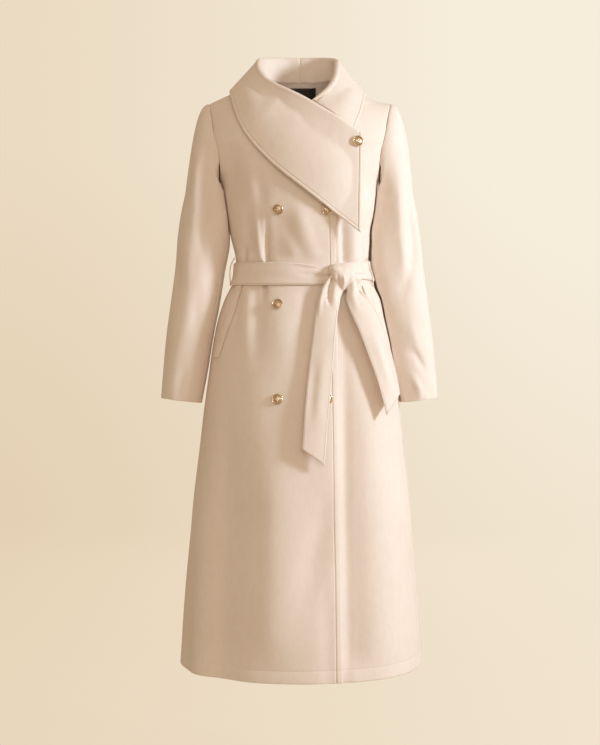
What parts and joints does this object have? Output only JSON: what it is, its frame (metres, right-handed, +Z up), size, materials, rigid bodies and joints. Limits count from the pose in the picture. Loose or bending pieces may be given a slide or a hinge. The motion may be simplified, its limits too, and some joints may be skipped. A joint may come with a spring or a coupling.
{
  "type": "belted double-breasted coat",
  "caption": "Long wool coat that wraps right over left under a wide collar and one large lapel, tied at the waist with its own belt and filled out as it is worn.",
  "frame": {"origin": "on the centre plane, level with the shoulder neck points, where the coat hangs from the wearer's shoulders", "axes": "+Z up along the coat's length, +X towards the wearer's left, -Y out of the coat's front"},
  "size_m": [0.5846, 0.3946, 1.289],
  "materials": {
    "wool": "smooth cream coating wool with a soft low nap",
    "label": "blank black woven satin",
    "buttons": "polished gold-coloured metal with a plain raised rim"
  },
  "bodies": {
    "root": {"right_front": "wool", "left_front": "wool", "right_back": "wool", "left_back": "wool", "right_top_sleeve": "wool", "right_under_sleeve": "wool", "left_top_sleeve": "wool", "left_under_sleeve": "wool", "right_collar_and_lapel": "wool", "left_collar": "wool", "belt": "wool", "belt_end_right": "wool", "belt_end_left": "wool", "belt_knot": "wool", "belt_loop_right": "wool", "belt_loop_left": "wool", "right_pocket_edge": "wool", "left_pocket_edge": "wool", "neck_label": "label", "button_a1": "buttons", "button_b1": "buttons", "button_a2": "buttons", "button_b2": "buttons", "button_a3": "buttons", "button_b3": "buttons", "lapel_button": "buttons"}
  },
  "joints": []
}
